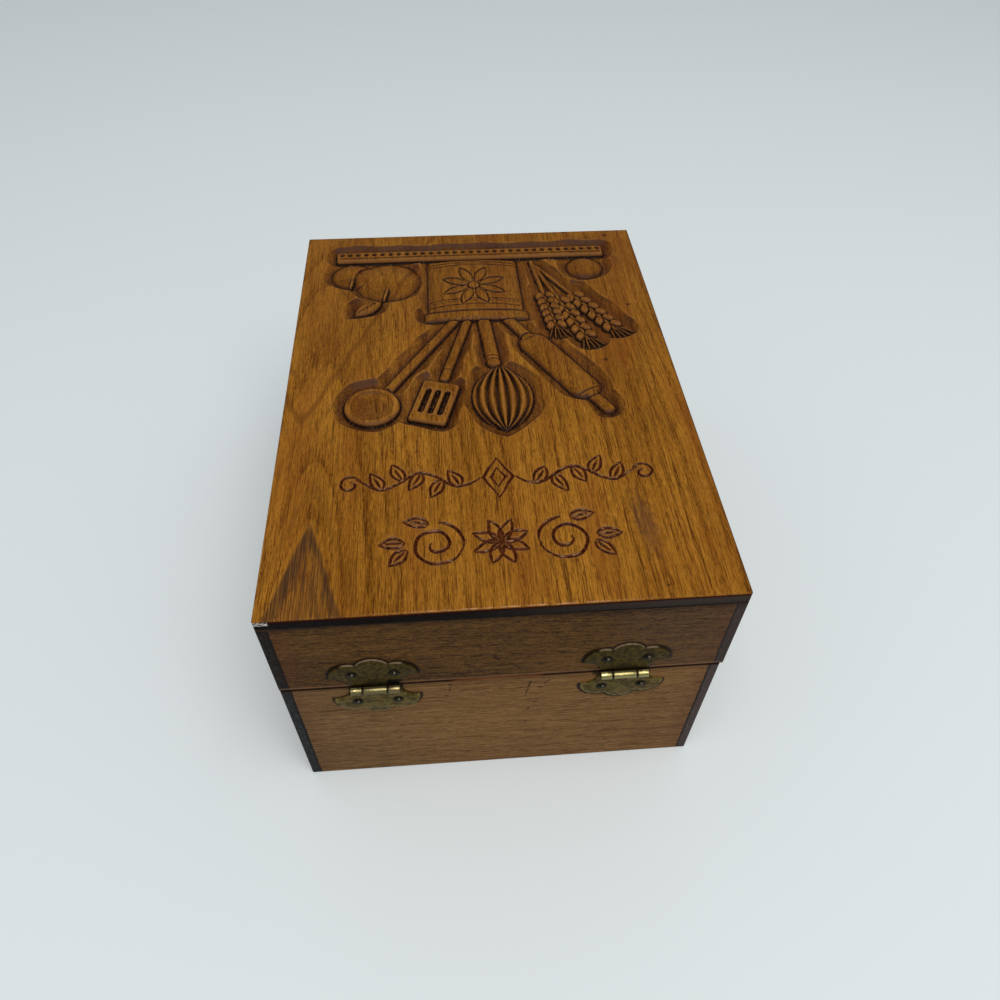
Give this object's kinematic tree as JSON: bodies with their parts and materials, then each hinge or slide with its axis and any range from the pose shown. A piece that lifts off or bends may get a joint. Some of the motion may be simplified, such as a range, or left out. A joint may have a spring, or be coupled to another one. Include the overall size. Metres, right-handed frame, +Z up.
{
  "type": "recipe card box",
  "caption": "Hinged wooden box for index cards, with a carved lid, rebated walls and ornamental brass hinges.",
  "frame": {"origin": "middle of the box's underside, on the surface that it stands on", "axes": "+X along the hinge line, to the right as seen from the front; +Y to the back, where the hinges are; +Z up"},
  "size_m": [0.1472, 0.2095, 0.1064],
  "materials": {
    "top_wood": "golden brown open-grained hardwood, satin varnish",
    "lid_wood": "dark brown stained hardwood, worn satin",
    "base_wood": "brown stained hardwood, worn satin",
    "bottom_wood": "plain thin board, dull",
    "hinge_brass": "tarnished antique brass",
    "pin_brass": "rubbed brass",
    "nail_brass": "dark tarnished round heads"
  },
  "bodies": {
    "base": {"base_back_board": "base_wood", "base_front_board": "base_wood", "base_left_side": "base_wood", "base_right_side": "base_wood", "bottom_panel": "bottom_wood", "left_hinge_base_leaf": "hinge_brass", "left_hinge_pin": "pin_brass", "left_hinge_base_nails": "nail_brass", "right_hinge_base_leaf": "hinge_brass", "right_hinge_pin": "pin_brass", "right_hinge_base_nails": "nail_brass"},
    "lid": {"lid_top_board": "top_wood", "lid_back_rail": "lid_wood", "lid_front_rail": "lid_wood", "lid_left_rail": "lid_wood", "lid_right_rail": "lid_wood", "left_hinge_lid_leaf": "hinge_brass", "left_hinge_lid_nails": "nail_brass", "right_hinge_lid_leaf": "hinge_brass", "right_hinge_lid_nails": "nail_brass"}
  },
  "joints": [
    {"name": "lid_hinge", "type": "hinge", "parent": "base", "child": "lid", "pos_m": [0, 0.10495, 0.06525], "axis": [-1, 0, 0], "range_deg": [0, 180]}
  ]
}
